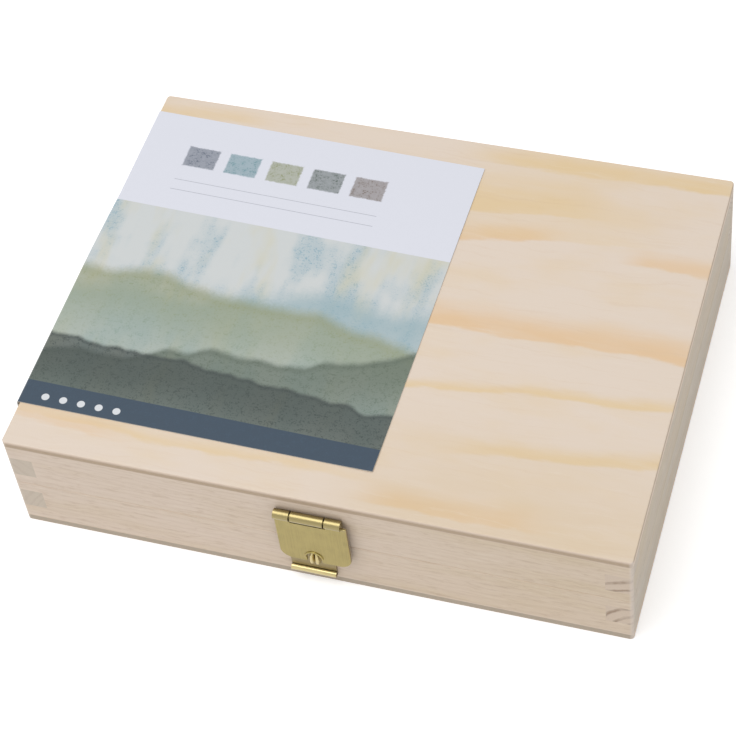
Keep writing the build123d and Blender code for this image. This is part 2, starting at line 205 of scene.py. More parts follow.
def dress(name, finish):
    """Gives a solid its finish, and leaves its mesh alone."""
    nodes[name].data.materials.clear()
    nodes[name].data.materials.append(finish)


half_length = box_mm("base_front_board")[1].x
half_depth = box_mm("base_left_board")[1].y
# how far in from the frame's corners their painted highlight reaches
corner_highlight_reach = 1.5
end_skin = 0.9
end_clear = 0.35
pine_late = tone(192, 166, 138)
pine_warm = tone(219, 199, 166)
pine_end = tone(214, 200, 183)
pine_end_warm = tone(222, 203, 184)
pine_end_late = tone(160, 134, 112)
pine_flash = tone(240, 226, 210)
pine_pore = tone(176, 146, 118)
# the colour of the painted highlight on the frame's rounded corners
corner_highlight_colour = tone(240, 226, 214)


def lit_corner_highlight(wood, colour):
    """The colour with the frame's four rounded corners painted paler: a painted highlight where the light
    catches them.
    """
    near_end = wood.rise(abs(wood.x), half_length - corner_highlight_reach, half_length - corner_highlight_reach / 3)
    near_side = wood.rise(abs(wood.y), half_depth - corner_highlight_reach, half_depth - corner_highlight_reach / 3)
    return wood.mix(near_end * near_side * 0.6, colour, corner_highlight_colour)


def pine(name, along, pith, ring, seed, pale, end_pale, end_contrast):
    """Planed pine with its grain along X or Y; pith is the ring centre across it, ring the spacing."""
    wood = Finish(name, roughness=0.6)
    if along == "X":
        run, side, limit = wood.x, wood.y, half_length
    else:
        run, side, limit = wood.y, wood.x, half_depth
    upright = wood.z + seed * 31.0
    # growth rings round the pith, bent and unevenly spaced
    bend = (wood.drawn(run * 0.012, side * 0.03, upright * 0.03) - 0.5) * 9.0
    ripple = (wood.drawn(run * 0.06, side * 0.4, upright * 0.4) - 0.5) * 0.9
    across = side - pith[0]
    upward = wood.z - pith[1]
    squares = across * across + upward * upward
    radius = wood.math("SQRT", squares) + bend + ripple
    uneven = wood.drawn(radius * 0.12, seed, 0.0, 1.0) * 2.2
    phase = wood.math("FRACT", radius / ring + uneven)
    late = wood.ramp(phase, ((0.0, 0.05), (0.45, 0.1), (0.82, 1.0), (0.93, 0.55), (1.0, 0.05)))
    # fibres and pores drawn out along the run, and patches where they show more
    sway = (wood.drawn(run * 0.07, side * 0.15, upright * 0.15) - 0.5) * 4.0
    fibre = wood.drawn(run * 0.17, (side + sway) * 1.15, (upright + sway) * 1.15, 4.0, 0.62)
    pores = wood.rise(wood.drawn(run * 0.2, side * 6.0, upright * 6.0), 0.62, 0.8)
    patch = wood.drawn(run * 0.018, side * 0.09, upright * 0.09, 3.0, 0.55)
    # the planed face, and the cut end with its arcs of late wood
    warm = wood.rise(patch, 0.42, 0.68) * 0.4 + wood.rise(wood.x, -30.0, 90.0) * 0.45
    face = wood.mix(warm, pale, wood.mix(0.7, pale, pine_warm))
    face = wood.mix(late * (0.05 + patch * 0.2), face, pine_late)
    streaks = wood.rise(fibre, 0.5, 0.72) * (0.1 + patch * 0.55)
    face = wood.mix(streaks, face, pine_late)
    face = wood.mix(wood.rise(fibre, 0.44, 0.3) * 0.3, face, pine_flash)
    face = wood.mix(pores * 0.16, face, pine_pore)
    end_late = wood.ramp(phase, ((0.0, 0.0), (0.45, 0.0), (0.72, 1.0), (0.9, 0.6), (1.0, 0.0)))
    end_share = 0.35 + wood.rise(wood.noise(wood.place, 0.22, 2.0), 0.35, 0.6) * 0.65
    speckle = wood.noise(wood.place, 3.5, 2.0)
    cut = wood.mix(end_late * end_share * end_contrast, end_pale, pine_end_late)
    cut = wood.mix(wood.rise(speckle, 0.5, 0.75) * 0.12, cut, pine_end_late)
    at_end = wood.rise(abs(run), limit - end_skin, limit - end_clear)
    # the face and the cut end, with a painted highlight on the rounded corners
    wood.put("Base Color", lit_corner_highlight(wood, wood.mix(at_end, face, cut)))
    wood.bump(fibre * 0.6 - pores * 0.5 + late * 0.15, 0.05, 0.5)
    return wood.material


front_pale = tone(232, 214, 197)
# the side boards are darker, greyer copies of the front boards' colour: painted shade on the box's sides
side_painted_shade_pale = tone(205, 195, 183)
side_painted_shade_grey = tone(205, 198, 190)
board_grain = {
    # grain's run, ring centre, ring spacing, seed, face, cut end and its late wood's strength
    "base_front_board": ("X", (-30.0, -46.0), 1.9, 1.0, front_pale, pine_end, 0.4),
    "base_back_board": ("X", (100.0, -60.0), 2.4, 2.0, front_pale, pine_end, 0.4),
    "base_left_board": ("Y", (-40.0, -30.0), 2.6, 3.0, side_painted_shade_grey, pine_end, 0.15),
    "base_right_board": ("Y", (101.0, 3.5), 5.0, 4.0, side_painted_shade_grey, pine_end_warm, 0.9),
    "lid_front_board": ("X", (-36.0, -50.0), 2.1, 5.0, front_pale, pine_end, 0.4),
    "lid_back_board": ("X", (120.0, 90.0), 2.2, 6.0, front_pale, pine_end, 0.4),
    "lid_left_board": ("Y", (-50.0, 80.0), 2.8, 7.0, side_painted_shade_pale, pine_end, 0.15),
    "lid_right_board": ("Y", (108.0, 5.0), 4.6, 8.0, side_painted_shade_pale, pine_end_warm, 0.9),
}
for name, grain in board_grain.items():
    dress(name, pine(f"{name}_pine", *grain))


# Panels: the lid's top and the base's bottom are 3 mm pine plywood, glued over the frames and sanded
# flush. The outer plies' grain runs along the box, and the middle ply's end grain darkens the edge.
ply_pale = tone(233, 217, 201)
ply_amber = tone(232, 206, 164)
ply_rose = tone(233, 201, 163)
ply_honey = tone(222, 198, 160)
ply_streak = tone(214, 184, 150)
ply_flash = tone(238, 224, 210)
ply_skin_pale = tone(238, 220, 203)
ply_skin_deep = tone(226, 204, 183)
growth_and_shadow_bands = (
    # sharp edge from the back at mid-length, its slant, soft width, middle, reach, strength and colour
    (8.5, 0.0, 12.0, 62.0, 62.0, 1.0, ply_amber),
    (8.0, 0.0, 9.0, -98.0, 46.0, 0.8, ply_amber),
    (33.0, -0.14, 27.0, 24.0, 44.0, 0.9, ply_amber),
    (46.5, -0.16, 11.0, 25.0, 30.0, 0.95, ply_rose),
    (42.0, 0.0, 10.0, 90.0, 22.0, 0.75, ply_rose),
    (80.5, -0.01, 15.0, 90.0, 150.0, 1.0, ply_rose),
    (108.0, -0.11, 5.5, 90.0, 140.0, 0.85, ply_amber),
    (132.5, -0.125, 8.0, 82.0, 58.0, 0.85, ply_amber),
    (151.0, 0.0, 12.0, 44.0, 34.0, 0.95, ply_rose),
    # partly a growth band and partly painted shadow of the card, along its front edge
    (143.0, 0.0, 7.0, -50.0, 80.0, 0.8, ply_amber),
    # this band darkens the panel's front left corner
    (150.0, 0.05, 10.0, -95.0, 40.0, 0.5, ply_rose),
    (45.0, -0.14, 26.0, 40.0, 50.0, 0.4, ply_amber),
    (162.0, 0.0, 60.0, 60.0, 66.0, 0.5, ply_honey),
)


def plywood(name, low, high, seed, hand, core_fade, core_pale, core_deep):
    """A panel between two heights; hand is 1 for the lid's, and -1 for the base's, laid face down."""
    sheet = Finish(name, roughness=0.55)
    # growth bands that wander along the panel, each sharp on one side and soft on the other
    # one of these bands is partly painted shadow of the card
    run = sheet.x * hand
    wander = (sheet.drawn(run * 0.016, sheet.y * 0.03, seed) - 0.5) * 11.0
    tear = (sheet.drawn(run * 0.1, sheet.y * 0.35, seed, 4.0, 0.6) - 0.5) * 3.6
    depth = half_depth - sheet.y + wander + tear
    thin = 0.65 + sheet.rise(sheet.drawn(run * 0.03, sheet.y * 0.12, seed + 5, 3.0), 0.3, 0.6) * 0.4
    streak = sheet.drawn(run * 0.03, (sheet.y + wander + tear) * 0.9, sheet.z * 1.6, 4.0, 0.6)
    mottle = sheet.rise(sheet.drawn(run * 0.022, sheet.y * 0.06, seed + 9, 3.0, 0.6), 0.45, 0.72)
    face = sheet.mix(mottle * 0.32, ply_pale, ply_amber)
    for edge, slant, width, middle, reach, strength, colour in growth_and_shadow_bands:
        inside = edge + run * slant - depth
        band = sheet.rise(inside, -0.6, 0.9) * sheet.rise(inside, width, width * 0.15)
        along = abs(run + wander - middle)
        band = band * sheet.rise(along, reach, reach * 0.45) * thin * strength
        face = sheet.mix(band, face, colour)
    face = sheet.mix(sheet.rise(streak, 0.52, 0.75) * 0.16, face, ply_streak)
    face = sheet.mix(sheet.rise(streak, 0.42, 0.25) * 0.25, face, ply_flash)
    # the edge: the plies' ends and sides between the two faces
    inner = sheet.rise(sheet.z, low - 0.1, low + 0.7) * sheet.rise(sheet.z, high - 0.1, high - core_fade)
    long_edge = sheet.rise(abs(sheet.y), half_depth - 0.7, half_depth - 0.4)
    end_grain = sheet.mix(long_edge, 1.0 - inner, inner)
    fleck = sheet.drawn(sheet.x * 0.7, sheet.y * 0.7, sheet.z * 3.0, 3.0, 0.6)
    core = sheet.mix(fleck, core_pale, core_deep)
    skin = sheet.mix(fleck, ply_skin_pale, ply_skin_deep)
    edge = sheet.mix(end_grain, skin, core)
    over = sheet.rise(sheet.z, high - 0.25, high - 0.05)
    under = sheet.rise(sheet.z, low + 0.25, low + 0.05)
    on_face = sheet.math("MAXIMUM", over, under)
    # the panel's edge takes the same painted highlight at the frame's corners
    sheet.put("Base Color", sheet.mix(on_face, lit_corner_highlight(sheet, edge), face))
    sheet.bump(streak * 0.7 + fleck * 0.3, 0.035, 0.35)
    return sheet.material


panel_core = {
    # seed, hand, how deep the middle ply fades at its upper side, and its two shades
    "lid_top_panel": (3.0, 1.0, 1.5, tone(202, 181, 157), tone(176, 151, 124)),
    "base_bottom_panel": (11.0, -1.0, 0.6, tone(198, 184, 166), tone(172, 156, 137)),
}
for name, core_look in panel_core.items():
    low, high = box_mm(name)
    dress(name, plywood(f"{name}_plywood", low.z, high.z, *core_look))


# Latch and catch: stamped brass, the flap brushed from its pin downwards. The nailed plate carries the
# pin, and the catch's curled lower edge and two-lobed nose stand under the flap's arch.
def new_object(name, data):
    """An object at the origin that carries this mesh, curve, camera or lamp."""
    item = bpy.data.objects.new(name, data)
    bpy.context.scene.collection.objects.link(item)
    return item


def plain_mesh(item):
    """The object's shape with its modifiers worked in, as a mesh of its own."""
    depsgraph = bpy.context.evaluated_depsgraph_get()
    return bpy.data.meshes.new_from_object(item.evaluated_get(depsgraph), depsgraph=depsgraph)


class Growth(Wiring):
    """A Geometry Nodes tree with named inputs, run once for each piece and kept as plain mesh."""

    def __init__(self, name, numbers, counts):
        super().__init__(bpy.data.node_groups.new(name, "GeometryNodeTree"))
        slots = self.tree.interface
        slots.new_socket("Geometry", in_out="INPUT", socket_type="NodeSocketGeometry")
        slots.new_socket("Geometry", in_out="OUTPUT", socket_type="NodeSocketGeometry")
        kinds = {label: "NodeSocketFloat" for label in numbers}
        kinds.update({label: "NodeSocketInt" for label in counts})
        kinds["material"] = "NodeSocketMaterial"
        self.sockets = {
            label: slots.new_socket(label, in_out="INPUT", socket_type=kind).identifier
            for label, kind in kinds.items()
        }
        outputs = self.add("NodeGroupInput").outputs
        self.given = {label: Field(self, outputs[label]) for label in ("Geometry", *kinds)}
        self.result = self.add("NodeGroupOutput").inputs[0]

    def chain(self, kind, geometry, settings=None, **values):
        """Adds a Geometry Nodes node, fed with a geometry where it works on one, and gives its result."""
        node = self.add(f"GeometryNode{kind}", **(settings or {}))
        if geometry is not None:
            self.feed(node.inputs[0], geometry)
        for label, value in values.items():
            self.feed(node.inputs[label.replace("_", " ")], value)
        return node.outputs[0]

    def finish(self, geometry):
        """Makes all instances real, lays the material on them and hands the geometry out."""
        real = self.chain("RealizeInstances", geometry)
        self.feed(self.result, self.chain("SetMaterial", real, Material=self.given["material"]))

    def grow(self, name, seed_mesh, **values):
        """The piece that grows from this mesh with these inputs; one that isn't given is 0."""
        piece = new_object(name, seed_mesh)
        modifier = piece.modifiers.new("growth", "NODES")
        modifier.node_group = self.tree
        for label, value in values.items():
            modifier[self.sockets[label]] = value
        mesh = plain_mesh(piece)
        piece.modifiers.remove(modifier)
        piece.data = mesh
        return piece


latch_brass = tone(158, 142, 77)
latch_brass_deep = tone(134, 119, 57)
# the colour of the painted shade on brass next to the wood
brass_painted_shade = tone(104, 86, 48)
brass_knuckle = tone(154, 140, 96)
knuckle_foot = 32.6
# how far from the wood the brass's painted shade reaches, and its soft edge
wood_shade_depth = 0.95
wood_shade_fade = 0.15


def brass(name, brush, colour, deep, roughness, wood_shade_share, seed):
    """Brass brushed along the axis where brush is 1, with a share of painted shade near the wood."""
    metal = Finish(name, roughness=roughness, metal=1.0)
    stretch = [0.12 if share else 5.0 for share in brush]
    lines = metal.drawn(metal.x * stretch[0], metal.y * stretch[1], metal.z * stretch[2] + seed, 3.0, 0.6)
    cloud = metal.noise(metal.place, 0.22, 2.0)
    shade = lines * 0.6 + cloud * 0.4
    polished = metal.mix(metal.rise(shade, 0.38, 0.8), colour, deep)
    rolled = metal.rise(metal.z, knuckle_foot, knuckle_foot + 0.6) * 0.8
    polished = metal.mix(rolled, polished, brass_knuckle)
    # painted shade: the brass darkens within about a millimetre of the wood, and is rougher there
    from_wood = abs(metal.y) - half_depth
    wood_shade = metal.rise(from_wood, wood_shade_depth + wood_shade_fade, wood_shade_depth) * wood_shade_share
    metal.put("Base Color", metal.mix(wood_shade, polished, brass_painted_shade))
    metal.put("Roughness", roughness - 0.08 + lines * 0.18 + wood_shade * 0.2)
    metal.bump(lines, 0.02, 0.35)
    metal.put("Coat Weight", 0.65)
    metal.put("Coat Roughness", 0.3)
    return metal.material


flap_finish = brass("flap_brass", (0, 0, 1), latch_brass, latch_brass_deep, 0.36, 0.7, 1.0)
plate_finish = brass("plate_brass", (1, 0, 0), latch_brass, latch_brass_deep, 0.33, 0.7, 2.0)
# the catch is the same brass in a paler colour: a painted highlight on its curl and nose
catch_finish = brass("catch_brass", (1, 0, 0), tone(202, 186, 134), tone(176, 160, 110), 0.33, 0.7, 6.0)
latch_finish = {
    "hasp_flap": flap_finish,
    "hasp_plate": plate_finish,
    "hasp_pin": plate_finish,
    "catch_plate": catch_finish,
}
for name, finish in latch_finish.items():
    dress(name, finish)

driven_inputs = ["head_radius", "head_height", "shank_radius", "length", "slot_width", "slot_depth", "tilt"]
driven = Growth("driven_heads", driven_inputs, ["seed"])
given = driven.given
head_sides = 48
shank_sides = 24
point_long = 2.5

# the head: the upper half of a flattened ball, cut with a slot where it has one
ball = driven.chain("MeshUVSphere", None, Segments=head_sides, Rings=head_sides // 2, Radius=1.0)
head_size = driven.point(given["head_radius"], given["head_radius"], given["head_height"])
flat_ball = driven.chain("Transform", ball, Scale=head_size)
spot_x, spot_y, spot_z = driven.parts(driven.add("GeometryNodeInputPosition").outputs[0])
seated = driven.point(spot_x, spot_y, driven.math("MAXIMUM", spot_z, 0.0))
dome = driven.chain("SetPosition", flat_ball, Position=seated)
slot_size = driven.point(given["head_radius"] * 3.0, given["slot_width"], given["slot_depth"] * 2.0)
head_top = driven.point(0.0, 0.0, given["head_height"])
cutter = driven.chain("Transform", driven.chain("MeshCube", None, Size=slot_size), Translation=head_top)
cutting = {"operation": "DIFFERENCE", "solver": "EXACT"}
slotted = driven.chain("MeshBoolean", None, cutting, Mesh_1=dome, Mesh_2=cutter)
choice = {"Switch": driven.math("GREATER_THAN", given["slot_width"], 0.0), "False": dome, "True": slotted}
head = driven.chain("Switch", None, {"input_type": "GEOMETRY"}, **choice)

# the shank and its point below the head
tip = given["shank_radius"] * point_long
shaft_long = given["length"] - tip
shank = {"Radius": given["shank_radius"], "Depth": shaft_long}
shaft = driven.chain("MeshCylinder", None, Vertices=shank_sides, **shank)
shaft = driven.chain("Transform", shaft, Translation=driven.point(0.0, 0.0, shaft_long * -0.5))
cone = {"Radius_Top": given["shank_radius"], "Radius_Bottom": 0.0, "Depth": tip}
point_cone = driven.chain("MeshCone", None, Vertices=shank_sides, **cone)
point_cone = driven.chain("Transform", point_cone, Translation=driven.point(0.0, 0.0, -given["length"]))
fastener = driven.add("GeometryNodeJoinGeometry")
for part in (head, shaft, point_cone):
    driven.feed(fastener.inputs[0], part)

# one fastener on each seat, with its slot turned by chance
planted = driven.chain(
    "InstanceOnPoints",
    given["Geometry"],
    Instance=driven.chain("Transform", fastener.outputs[0], Scale=(0.001, 0.001, 0.001)),
    Rotation=driven.point(given["tilt"], 0.0, 0.0),
)
chance = driven.add("FunctionNodeRandomValue", data_type="FLOAT")
for label, value in (("Min", 0.0), ("Max", 2 * math.pi)):
    limit = next(socket for socket in chance.inputs if socket.name == label and socket.type == "VALUE")
    limit.default_value = value
driven.feed(chance.inputs["Seed"], given["seed"])
slot_turn = next(socket for socket in chance.outputs if socket.type == "VALUE")
planted = driven.chain("RotateInstances", planted, Rotation=driven.point(0.0, 0.0, slot_turn))
driven.finish(driven.chain("SetShadeSmooth", planted))


slot_share = 0.55
sharp_edge = math.radians(38)


def drive(node, seats, head_height, shank_radius, slot_width, outward, seed, finish):
    """The node's screws or nails, each with its head's foot at a seat and facing out along Y."""
    low, high = box_mm(node)
    points = bpy.data.meshes.new(f"{node}_seats")
    points.from_pydata([(x / 1000, y / 1000, z / 1000) for x, y, z in seats], [], [])
    piece = driven.grow(
        node.replace("_screws", "_slotted_screws").replace("_nails", "_round_nails"),
        points,
        head_radius=(high.z - low.z) / 2,
        head_height=head_height,
        shank_radius=shank_radius,
        length=high.y - low.y - head_height,
        slot_width=slot_width,
        slot_depth=head_height * slot_share,
        tilt=-outward * math.pi / 2,
        seed=seed,
        material=finish,
    )
    piece.data.set_sharp_from_angle(angle=sharp_edge)
    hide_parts(node)
    return piece


def seat_row(node, foot, between=()):
    """Seats at both ends of a row of heads, and at the given places between, at its mid-height."""
    low, high = box_mm(node)
    reach = (high.z - low.z) / 2
    return [(x, foot, (low.z + high.z) / 2) for x in (low.x + reach, *between, high.x - reach)]


nail_head = 0.45
nail_shank = 0.55
for node, body in (("hasp_nails", "lid"), ("catch_nails", "base")):
    seats = seat_row(node, box_mm(node)[0].y + nail_head)
    nails = drive(node, seats, nail_head, nail_shank, 0.0, -1, 5, plate_finish)
    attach(nails, body)


# Hinges: two small brass butt hinges on the back, each leaf screwed on with two slotted round-head
# screws. A riveted pin joins them, and the heels beside the knuckles stop the open lid.
hinge_pale = tone(168, 152, 92)
hinge_deep = tone(146, 130, 74)
screw_pale = tone(188, 172, 120)
screw_deep = tone(150, 134, 86)
hinge_finish = brass("hinge_brass", (1, 0, 0), hinge_pale, hinge_deep, 0.3, 0.12, 3.0)
screw_finish = brass("screw_brass", (1, 1, 1), screw_pale, screw_deep, 0.28, 0.0, 4.0)
for hand in ("left", "right"):
    for part in ("lid_leaf", "base_leaf", "pin"):
        dress(f"hinge_{part}_{hand}", hinge_finish)

screw_head = 0.8
screw_shank = 0.8
screw_slot = 0.4
leaf_middle = sum(corner.x for corner in box_mm("hinge_lid_leaf_right")) / 2
for node, body, seed in (("hinge_lid_screws", "lid", 11), ("hinge_base_screws", "base", 12)):
    low, high = box_mm(node)
    outermost = high.x - (high.z - low.z) / 2
    innermost = 2 * leaf_middle - outermost
    seats = seat_row(node, high.y - screw_head, (-innermost, innermost))
    screws = drive(node, seats, screw_head, screw_shank, screw_slot, 1, seed, screw_finish)
    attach(screws, body)


# Label card: one sheet of coated card, printed and glued to the lid, and folded down over its left
# edge. The print is a colour chart's five swatches over layered hills in granulating washes.
sheet_gap = 0.02
sheet_thick = 0.34
fold_radius = 0.75
rows_across = 46
card_low, card_high = box_mm("label_card")
lid_top = box_mm("lid_top_panel")[1].z
card_skew = 3.5
print_slant = 0.033
foot_slant = 0.019
corner_lift = 0.22
lift_along = 18.0
lift_across = 22.0
wave_height = 0.05
right_lean = 0.65
foot_rise = 1.3
fold_stand_off = 0.65
stand_off_from = 35.0
run_flat = card_high.x - (card_low.x + sheet_thick + fold_radius)
run_bend = fold_radius * math.pi / 2
run_side = lid_top - fold_radius + sheet_gap - card_low.z


def card_place(run):
    """Where the sheet's inner face lies after that many millimetres from its right edge: x and z."""
    if run <= run_flat:
        return card_high.x - run, lid_top + sheet_gap
    centre_x = card_high.x - run_flat
    centre_z = lid_top + sheet_gap - fold_radius
    turn = min((run - run_flat) / fold_radius, math.pi / 2)
    down = max(run - run_flat - run_bend, 0.0)
    return centre_x - fold_radius * math.sin(turn), centre_z + fold_radius * math.cos(turn) - down


# the sheet's inner face: flat on the lid, round the edge, and down the side
flat_steps = 60
bend_steps = 8
side_steps = 8
runs = [run_flat * i / flat_steps for i in range(flat_steps)]
runs += [run_flat + run_bend * i / bend_steps for i in range(bend_steps)]
runs += [run_flat + run_bend + run_side * i / side_steps for i in range(side_steps + 1)]
card_points = []
for run in runs:
    x, z = card_place(run)
    from_right = min(run / run_flat, 1.0)
    back = card_high.y - card_skew * (1 - from_right)
    fore = card_low.y + foot_rise * from_right
    for row in range(rows_across + 1):
        y = fore + (back - fore) * row / rows_across
        lean = right_lean * (2 * row / rows_across - 1) * (1 - from_right)
        ease = min(max(1 - y / stand_off_from, 0.0), 1.0)
        stand_off = fold_stand_off * ease * ease * (3 - 2 * ease) * from_right**6
        near_edge = max(0.0, 1 - run / lift_along) * max(0.0, 1 - (y - card_low.y) / lift_across)
        wave = wave_height * noise.noise(Vector((x * 0.03, y * 0.03, 4.0))) if run < run_flat else 0.0
        lift = corner_lift * near_edge**2 + max(wave, 0)
        card_points.append(((x + lean - stand_off) / 1000, y / 1000, (z + lift) / 1000))
stride = rows_across + 1
card_faces = []
for step in range(len(runs) - 1):
    for row in range(rows_across):
        corner = step * stride + row
        card_faces.append((corner, corner + 1, corner + stride + 1, corner + stride))
card_mesh = bpy.data.meshes.new("printed_card")
card_mesh.from_pydata(card_points, [], card_faces)
print_map = card_mesh.uv_layers.new(name="print")
for loop in card_mesh.loops:
    run = runs[loop.vertex_index // stride]
    y = card_points[loop.vertex_index][1]
    print_map.data[loop.index].uv = ((card_high.x - run) / 1000, y)
card_mesh.polygons.foreach_set("use_smooth", [True] * len(card_faces))

header_white = tone(229, 231, 241)
wash_paper = tone(212, 216, 216)
foot_dark = tone(40, 62, 82)
rule_ink = tone(90, 98, 112)
dot_white = tone(225, 228, 232)
swatch_inks = ((70, 84, 104), (96, 142, 152), (140, 146, 104), (66, 82, 72), (112, 96, 84))
swatch_left = -78.0
swatch_step = 15.0
swatch_level = 47.6
swatch_half = (5.6, 4.4)
rule_middle = -48.0
rule_levels = (36.6, 32.1)
rule_half = (36.0, 0.09)
dot_left = -92.0
dot_step = 6.0
dot_level = -59.6
dot_radius = 1.35
header_edge = 23.3
foot_edge = -54.1


def map_place(finish, name):
    """Across and up on a piece's flat map, in millimetres."""
    flat_map = finish.add("ShaderNodeUVMap", uv_map=name).outputs[0]
    return finish.parts(finish.scaled(flat_map, 1000.0))[:2]


ink = Finish("card_print", roughness=0.42)
across, upwards = map_place(ink, "print")
level = upwards + across * print_slant
flat = ink.point(across, upwards, 0.0)
grain = ink.noise(flat, 1.6, 4.0, 0.7)
coarse = ink.noise(flat, 0.45, 4.0, 0.65)
granules = ink.rise(grain * 0.6 + coarse * 0.4, 0.5, 0.62)
rough_edge = ink.noise(flat, 0.9, 3.0, 0.6) - 0.5


def box_mask(x, y, half_size, soft, wobble):
    """1 inside a rectangle of the print, with its edge softened and roughened in millimetres."""
    from_x = abs(across - x) - half_size[0]
    from_y = abs(level - y) - half_size[1]
    outside = ink.math("MAXIMUM", from_x, from_y) + rough_edge * wobble
    return ink.rise(outside, soft, -soft)


# the picture: a washed sky and four layered hills
streaks = ink.drawn(across * 0.05, upwards * 0.012, 2.0, 3.0, 0.6)
clouds = ink.drawn(across * 0.03, upwards * 0.04, 7.0, 3.0, 0.6)
teal = ink.rise(streaks + clouds * 0.5, 0.68, 0.86) * (0.35 + granules * 0.65)
picture = ink.mix(teal, wash_paper, tone(122, 166, 184))
cream = ink.rise(ink.drawn(across * 0.06, upwards * 0.02, 11.0, 3.0, 0.6), 0.5, 0.72)
picture = ink.mix(cream * 0.7, picture, tone(214, 208, 178))
hills = (
    # height at the print's middle, slope, swing, pace, softness, colour, cover and seed
    (-2.0, 0.10, 26.0, 0.020, 5.0, tone(150, 178, 186), 0.75, 21.0),
    (-12.0, -0.12, 30.0, 0.024, 3.0, tone(146, 152, 112), 0.8, 33.0),
    (-24.0, 0.16, 34.0, 0.030, 1.6, tone(84, 98, 84), 0.9, 45.0),
    (-40.0, -0.08, 18.0, 0.045, 1.0, tone(44, 56, 54), 0.95, 57.0),
)
for height, slope, swing, pace, soft, colour, cover, seed in hills:
    crest = ink.drawn(across * pace, seed, 0.0, 2.0, 0.45)
    top = height + across * slope + (crest - 0.5) * swing
    above = upwards - top + rough_edge * soft
    body = ink.rise(above, soft, -soft)
    rim = ink.rise(above, -2.2 * soft, -0.6 * soft) * body
    mist = ink.rise(above, -30.0, -6.0)
    strength = body * cover * (0.45 + mist * 0.35 + granules * 0.2)
    picture = ink.mix(ink.math("MINIMUM", strength + rim * 0.12, 1.0), picture, colour)

# the plain header with its swatches and rules, and the dark foot with its dots
header = ink.rise(level + rough_edge * 0.1, header_edge - 0.15, header_edge + 0.15)
printed = ink.mix(header, picture, header_white)
for place, swatch in enumerate(swatch_inks):
    patch = box_mask(swatch_left + swatch_step * place, swatch_level, swatch_half, 0.35, 1.1)
    pooled = 0.55 + granules * 0.3 + coarse * 0.2
    printed = ink.mix(patch * pooled, printed, tone(*swatch))
for height in rule_levels:
    rule = box_mask(rule_middle, height, rule_half, 0.08, 0.0)
    printed = ink.mix(rule * 0.6, printed, rule_ink)
foot_level = upwards + across * foot_slant
foot = ink.rise(foot_level, foot_edge + 0.12, foot_edge - 0.12)
printed = ink.mix(foot * 0.96, printed, ink.mix(granules * 0.35, foot_dark, tone(60, 84, 106)))
for place in range(5):
    from_dot = ink.point(across - (dot_left + dot_step * place), foot_level - dot_level, 0.0)
    length = ink.add("ShaderNodeVectorMath", operation="LENGTH")
    ink.feed(length.inputs[0], from_dot)
    dot = ink.rise(length.outputs["Value"], dot_radius, dot_radius - 0.15)
    printed = ink.mix(dot, printed, dot_white)
ink.put("Base Color", printed)
ink.bump(grain, 0.01, 0.2)
ink.put("Coat Weight", 0.25)
ink.put("Coat Roughness", 0.3)

core = Finish("card_core", roughness=0.8)
core.put("Base Color", core.mix(core.noise(core.place, 2.0, 2.0), tone(214, 212, 208), tone(196, 193, 188)))
card_mesh.materials.append(ink.material)
card_mesh.materials.append(core.material)
card = new_object("printed_card", card_mesh)
thicken = card.modifiers.new("thickness", "SOLIDIFY")
thicken.thickness = sheet_thick / 1000
thicken.offset = 1.0
thicken.material_offset = 1
thicken.material_offset_rim = 1
card_mesh = plain_mesh(card)
card.modifiers.remove(thicken)
card.data = card_mesh
card_mesh.set_sharp_from_angle(angle=math.radians(50))
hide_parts("label_card")
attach(card, "lid")


# Foam tray: a block of dark closed-cell foam, die-cut with a pocket for each tube and glued to a thin
# floor sheet of the same foam. It is pressed into the base between the boards.
tray_low, tray_high = box_mm("tube_tray")
tray_floor = 1.2
floor_top = tray_low.z + tray_floor
floor_gap = 0.02
floor_ease = 0.15
tray_ease = 0.5
tray_corner = 1.2
pocket_corner = 2.0
cells_per_mm = 1.7
tube_numbers = range(1, 6)
tube_middle = {}
for number in tube_numbers:
    low, high = box_mm(f"tube_body_{number}")
    tube_middle[number] = (low.x + high.x) / 2
pocket_half = (
    # half the pocket's width, and the place along it, from the cap's end to the crimp
    (7.6, -58.6),
    (7.6, -40.0),
    (9.6, -39.4),
    (9.6, 8.0),
    (14.74, 48.0),
    (14.74, 54.6),
)


def rounded(corners, radius):
    """A closed outline through these corners, each replaced by a curve that starts radius before it."""
    steps = 6
    outline = []
    for i, corner in enumerate(corners):
        before = Vector(corners[i - 1]) - Vector(corner)
        after = Vector(corners[(i + 1) % len(corners)]) - Vector(corner)
        reach = min(radius, before.length * 0.45, after.length * 0.45)
        start = Vector(corner) + before.normalized() * reach
        end = Vector(corner) + after.normalized() * reach
        for step in range(steps + 1):
            t = step / steps
            point = start * (1 - t) ** 2 + Vector(corner) * 2 * t * (1 - t) + end * t**2
            outline.append(point)
    return outline


def cut_sheet(name, outlines, low, high, ease):
    """A flat sheet between two heights with this outline and these holes, its edges eased all round."""
    drawing = bpy.data.curves.new(name, "CURVE")
    drawing.dimensions = "2D"
    drawing.fill_mode = "BOTH"
    for outline in outlines:
        spline = drawing.splines.new("POLY")
        spline.points.add(len(outline) - 1)
        for point, place in zip(spline.points, outline):
            point.co = (place[0] / 1000, place[1] / 1000, 0, 1)
        spline.use_cyclic_u = True
    drawing.extrude = (high - low) / 2000 - ease / 1000
    drawing.bevel_depth = ease / 1000
    drawing.bevel_resolution = 3
    drawing.offset = -ease / 1000
    carrier = new_object(name, drawing)
    mesh = plain_mesh(carrier)
    bpy.data.objects.remove(carrier)
    form = bmesh.new()
    form.from_mesh(mesh)
    bmesh.ops.remove_doubles(form, verts=form.verts, dist=1e-6)
    bmesh.ops.translate(form, verts=form.verts, vec=(0, 0, (low + high) / 2000))
    bmesh.ops.recalc_face_normals(form, faces=form.faces)
    form.to_mesh(mesh)
    form.free()
    return new_object(name, mesh)


